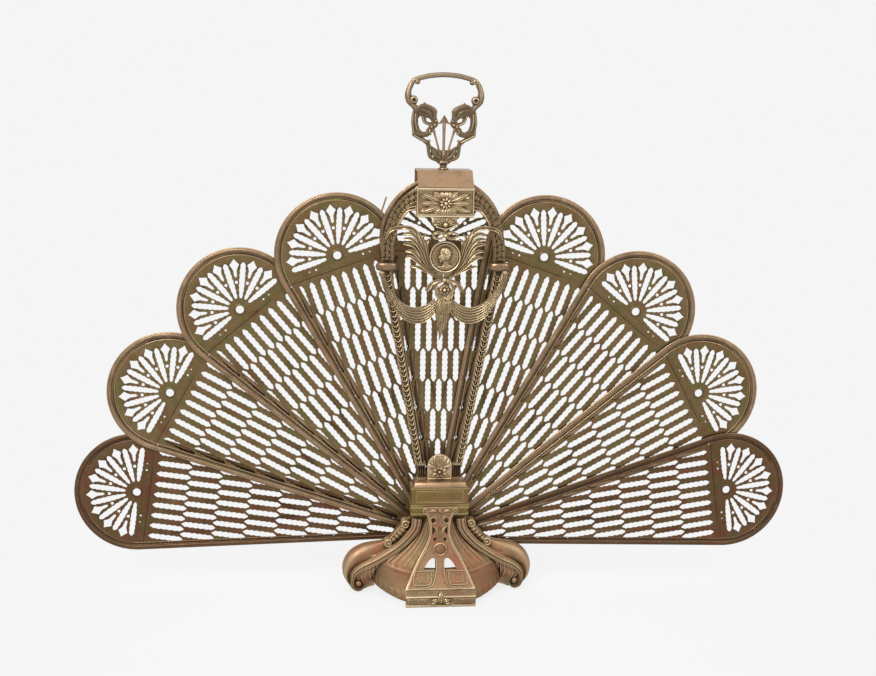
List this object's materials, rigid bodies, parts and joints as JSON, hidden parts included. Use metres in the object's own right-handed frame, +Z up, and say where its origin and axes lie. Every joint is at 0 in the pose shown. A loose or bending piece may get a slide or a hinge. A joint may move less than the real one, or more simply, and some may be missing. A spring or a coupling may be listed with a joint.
{
  "type": "folding fan fireplace screen",
  "caption": "Folding peacock-fan fireplace screen: pierced brass leaves on one pivot, on an ornate cast base with an upright, medallion and carrying handle.",
  "frame": {"origin": "centre of the footprint on the floor, under the middle of the fan's depth", "axes": "+X to the screen's right as seen from its front, -Y out of its decorated front, +Z up"},
  "size_m": [0.9606, 0.163, 0.6853],
  "materials": {
    "sheet_brass": "dark aged brass sheet",
    "rim_brass": "aged brass, rubbed brighter",
    "cast_brass": "cast brass, gilt high spots and dark recesses",
    "copper_brass": "coppery brass with worn gold edges",
    "gold_brass": "olive gold brass",
    "plain_brass": "smooth pinkish brass",
    "dark_steel": "dark plain metal"
  },
  "bodies": {
    "root": {"apron": "copper_brass", "arm_left": "cast_brass", "arm_right": "cast_brass", "base_casting": "copper_brass", "collar_left": "plain_brass", "collar_right": "plain_brass", "garland_left": "cast_brass", "garland_right": "cast_brass", "handle_frame": "cast_brass", "handle_grip": "cast_brass", "handle_stem": "plain_brass", "hood": "plain_brass", "medallion": "cast_brass", "palmette": "cast_brass", "panel_middle": "sheet_brass", "pivot_bolt": "dark_steel", "pivot_nut": "dark_steel", "plinth": "copper_brass", "rear_stand": "dark_steel", "ribbon_drop": "cast_brass", "rim_middle": "rim_brass", "socle_box": "gold_brass", "socle_cap": "gold_brass", "spacer_left": "dark_steel", "spacer_right": "dark_steel", "spray_left": "cast_brass", "spray_right": "cast_brass", "star": "cast_brass", "stop_middle": "dark_steel", "strap_left": "cast_brass", "strap_right": "cast_brass", "tie_bolt_left": "dark_steel", "tie_bolt_right": "dark_steel", "top_box": "cast_brass", "washer_front": "dark_steel", "washer_rear": "dark_steel"},
    "leaf_left_1": {"panel_left_1": "sheet_brass", "rim_left_1": "rim_brass", "stop_left_1": "dark_steel"},
    "leaf_left_2": {"panel_left_2": "sheet_brass", "rim_left_2": "rim_brass", "stop_left_2": "dark_steel"},
    "leaf_left_3": {"panel_left_3": "sheet_brass", "rim_left_3": "rim_brass", "stop_left_3": "dark_steel"},
    "leaf_left_4": {"panel_left_4": "sheet_brass", "rim_left_4": "rim_brass"},
    "leaf_right_1": {"panel_right_1": "sheet_brass", "rim_right_1": "rim_brass", "stop_right_1": "dark_steel"},
    "leaf_right_2": {"panel_right_2": "sheet_brass", "rim_right_2": "rim_brass", "stop_right_2": "dark_steel"},
    "leaf_right_3": {"panel_right_3": "sheet_brass", "rim_right_3": "rim_brass", "stop_right_3": "dark_steel"},
    "leaf_right_4": {"panel_right_4": "sheet_brass", "rim_right_4": "rim_brass", "stop_right_4": "dark_steel"}
  },
  "joints": [
    {"name": "right_leaf_4_pivot", "type": "hinge", "parent": "root", "child": "leaf_right_4", "pos_m": [0, -0.012, 0.071], "axis": [0, -1, 0], "range_deg": [0, 76.5]},
    {"name": "right_leaf_3_pivot", "type": "hinge", "parent": "root", "child": "leaf_right_3", "pos_m": [0, -0.009, 0.071], "axis": [0, -1, 0], "range_deg": [0, 57.1]},
    {"name": "right_leaf_2_pivot", "type": "hinge", "parent": "root", "child": "leaf_right_2", "pos_m": [0, -0.006, 0.071], "axis": [0, -1, 0], "range_deg": [0, 37.7]},
    {"name": "right_leaf_1_pivot", "type": "hinge", "parent": "root", "child": "leaf_right_1", "pos_m": [0, -0.003, 0.071], "axis": [0, -1, 0], "range_deg": [0, 18.3]},
    {"name": "left_leaf_4_pivot", "type": "hinge", "parent": "root", "child": "leaf_left_4", "pos_m": [0, 0.012, 0.071], "axis": [0, 1, 0], "range_deg": [0, 76.5]},
    {"name": "left_leaf_3_pivot", "type": "hinge", "parent": "root", "child": "leaf_left_3", "pos_m": [0, 0.009, 0.071], "axis": [0, 1, 0], "range_deg": [0, 57.1]},
    {"name": "left_leaf_2_pivot", "type": "hinge", "parent": "root", "child": "leaf_left_2", "pos_m": [0, 0.006, 0.071], "axis": [0, 1, 0], "range_deg": [0, 37.7]},
    {"name": "left_leaf_1_pivot", "type": "hinge", "parent": "root", "child": "leaf_left_1", "pos_m": [0, 0.003, 0.071], "axis": [0, 1, 0], "range_deg": [0, 18.3]}
  ],
  "couplings": [
    {"joint": "right_leaf_3_pivot", "follows": "right_leaf_4_pivot", "ratio": 0.7464},
    {"joint": "right_leaf_2_pivot", "follows": "right_leaf_4_pivot", "ratio": 0.49281},
    {"joint": "right_leaf_1_pivot", "follows": "right_leaf_4_pivot", "ratio": 0.23922},
    {"joint": "left_leaf_3_pivot", "follows": "left_leaf_4_pivot", "ratio": 0.7464},
    {"joint": "left_leaf_2_pivot", "follows": "left_leaf_4_pivot", "ratio": 0.49281},
    {"joint": "left_leaf_1_pivot", "follows": "left_leaf_4_pivot", "ratio": 0.23922}
  ]
}
